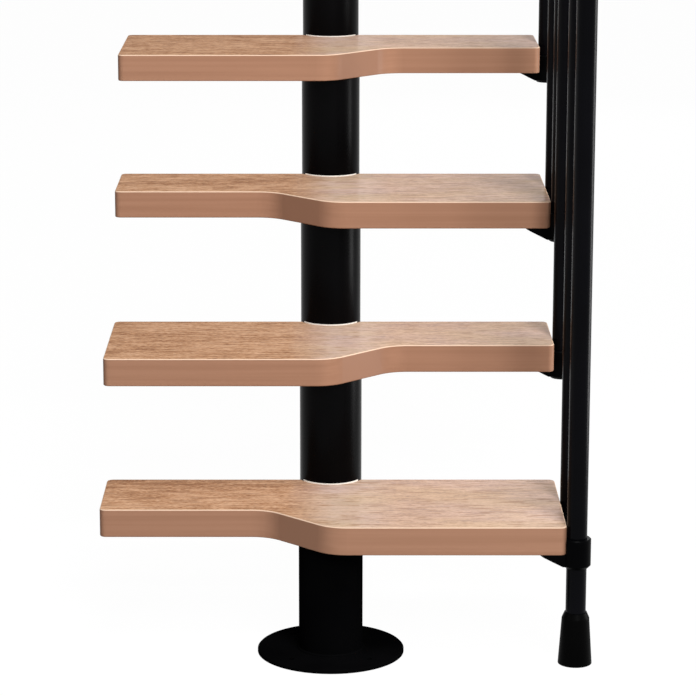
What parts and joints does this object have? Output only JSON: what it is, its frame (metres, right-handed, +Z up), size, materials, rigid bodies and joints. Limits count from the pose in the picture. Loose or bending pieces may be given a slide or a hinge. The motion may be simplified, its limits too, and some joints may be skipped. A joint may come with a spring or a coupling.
{
  "type": "alternating tread staircase",
  "caption": "Space-saving staircase with paddle-shaped wooden treads on a central modular steel spine and a black tube railing along one side.",
  "frame": {"origin": "centre of the floor flange's underside, on the lowest tube's axis", "axes": "+Z up, +Y up the flight, +X towards the railing"},
  "size_m": [0.683, 1.4113, 2.2887],
  "materials": {
    "black_steel": "satin black powder coat",
    "bracket_black": "satin black powder coat on cast metal",
    "rail_black": "satin black powder coat",
    "plastic_black": "fine matt moulded black",
    "foot_rubber": "matt black rubber",
    "beech": "steamed beech, satin lacquer"
  },
  "bodies": {
    "root": {"floor_support": "black_steel", "spine_support_2": "black_steel", "spine_support_3": "black_steel", "spine_support_4": "black_steel", "spine_support_5": "black_steel", "spine_support_6": "black_steel", "top_support": "black_steel", "tread_1": "beech", "tread_2": "beech", "tread_3": "beech", "tread_4": "beech", "tread_5": "beech", "tread_6": "beech", "newel_baluster": "black_steel", "rear_baluster_1": "black_steel", "rear_baluster_2": "black_steel", "rear_baluster_3": "black_steel", "rear_baluster_4": "black_steel", "rear_baluster_5": "black_steel", "rear_baluster_6": "black_steel", "front_baluster_3": "black_steel", "front_baluster_5": "black_steel", "rear_bracket_1": "bracket_black", "rear_saddle_1": "plastic_black", "rear_bracket_2": "bracket_black", "rear_saddle_2": "plastic_black", "rear_bracket_3": "bracket_black", "rear_saddle_3": "plastic_black", "rear_bracket_4": "bracket_black", "rear_saddle_4": "plastic_black", "rear_bracket_5": "bracket_black", "rear_saddle_5": "plastic_black", "rear_bracket_6": "bracket_black", "rear_saddle_6": "plastic_black", "front_bracket_1": "bracket_black", "front_saddle_1": "plastic_black", "front_bracket_3": "bracket_black", "front_saddle_3": "plastic_black", "front_bracket_5": "bracket_black", "front_saddle_5": "plastic_black", "newel_foot": "foot_rubber", "handrail": "rail_black", "lower_rail_cap": "plastic_black", "upper_rail_cap": "plastic_black"}
  },
  "joints": []
}
